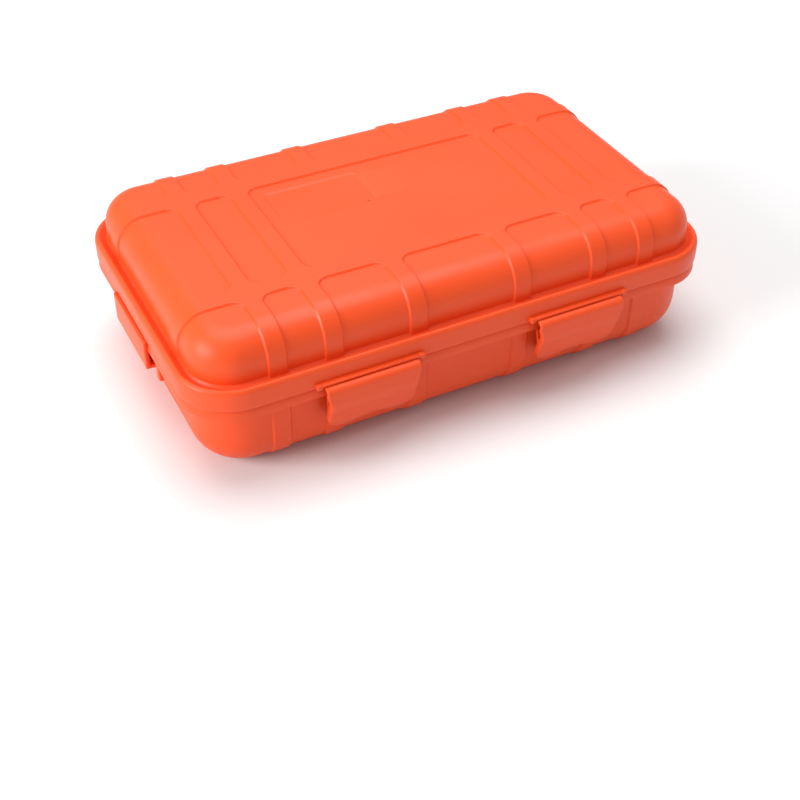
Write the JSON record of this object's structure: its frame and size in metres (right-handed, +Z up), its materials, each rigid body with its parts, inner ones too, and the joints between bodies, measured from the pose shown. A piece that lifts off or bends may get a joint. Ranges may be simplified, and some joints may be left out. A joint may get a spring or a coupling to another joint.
{
  "type": "first aid kit",
  "caption": "Pocket first aid kit: ribbed clamshell case with a back-hinged lid, front snap latches, a lid seal, a lanyard lug and packed supplies.",
  "frame": {"origin": "middle of the flat underside of the base, between the ends and the long walls of the case", "axes": "+X along the case towards the right end, away from the lanyard lug; +Y towards the hinges, so the latches face -Y; +Z up"},
  "size_m": [0.1659, 0.1057, 0.046],
  "materials": {
    "case_plastic": "satin moulded polypropylene with a fine texture",
    "silicone": "matte",
    "steel": "brushed",
    "crepe": "crinkled weave",
    "gauze": "open weave",
    "tape": "fine woven tape",
    "cardboard": "matte board",
    "calico": "plain weave",
    "foil": "crinkled metallised film",
    "nitrile": "soft sheet in a clear packet",
    "paper": "matte paper",
    "sachet_paper": "matte medical paper",
    "plaster_wrap": "matte waxed paper",
    "wipe_film": "satin film",
    "clear_plastic": "clear moulded plastic"
  },
  "bodies": {
    "base": {"base_shell": "case_plastic", "hinge_pin_left": "steel", "hinge_pin_right": "steel", "bandage_roll_large": "crepe", "bandage_roll_small": "gauze", "tape_roll": "tape", "tape_core": "cardboard", "triangular_bandage": "calico", "foil_blanket": "foil", "glove_packet": "nitrile", "first_aid_leaflet": "paper", "gauze_sachet_1": "sachet_paper", "gauze_sachet_2": "sachet_paper", "gauze_sachet_3": "sachet_paper", "gauze_sachet_4": "sachet_paper", "plaster_1": "plaster_wrap", "plaster_2": "plaster_wrap", "plaster_3": "plaster_wrap", "plaster_4": "plaster_wrap", "wipe_sachet_1": "wipe_film", "wipe_sachet_2": "wipe_film", "wipe_sachet_3": "wipe_film", "wipe_sachet_4": "wipe_film", "wound_dressing": "sachet_paper", "saline_ampoule": "clear_plastic", "tweezers": "steel"},
    "lid": {"lid_shell": "case_plastic", "lid_gasket": "silicone", "latch_pin_left": "steel", "latch_pin_right": "steel"},
    "left_latch": {"latch_left": "case_plastic"},
    "right_latch": {"latch_right": "case_plastic"}
  },
  "joints": [
    {"name": "lid_hinge", "type": "hinge", "parent": "base", "child": "lid", "pos_m": [0, 0.0512, 0.02705], "axis": [-1, 0, 0], "range_deg": [0, 180]},
    {"name": "left_latch_hinge", "type": "hinge", "parent": "lid", "child": "left_latch", "pos_m": [-0.0329, -0.0512, 0.0262], "axis": [-1, 0, 0], "range_deg": [0, 110]},
    {"name": "right_latch_hinge", "type": "hinge", "parent": "lid", "child": "right_latch", "pos_m": [0.0329, -0.0512, 0.0262], "axis": [-1, 0, 0], "range_deg": [0, 110]}
  ]
}
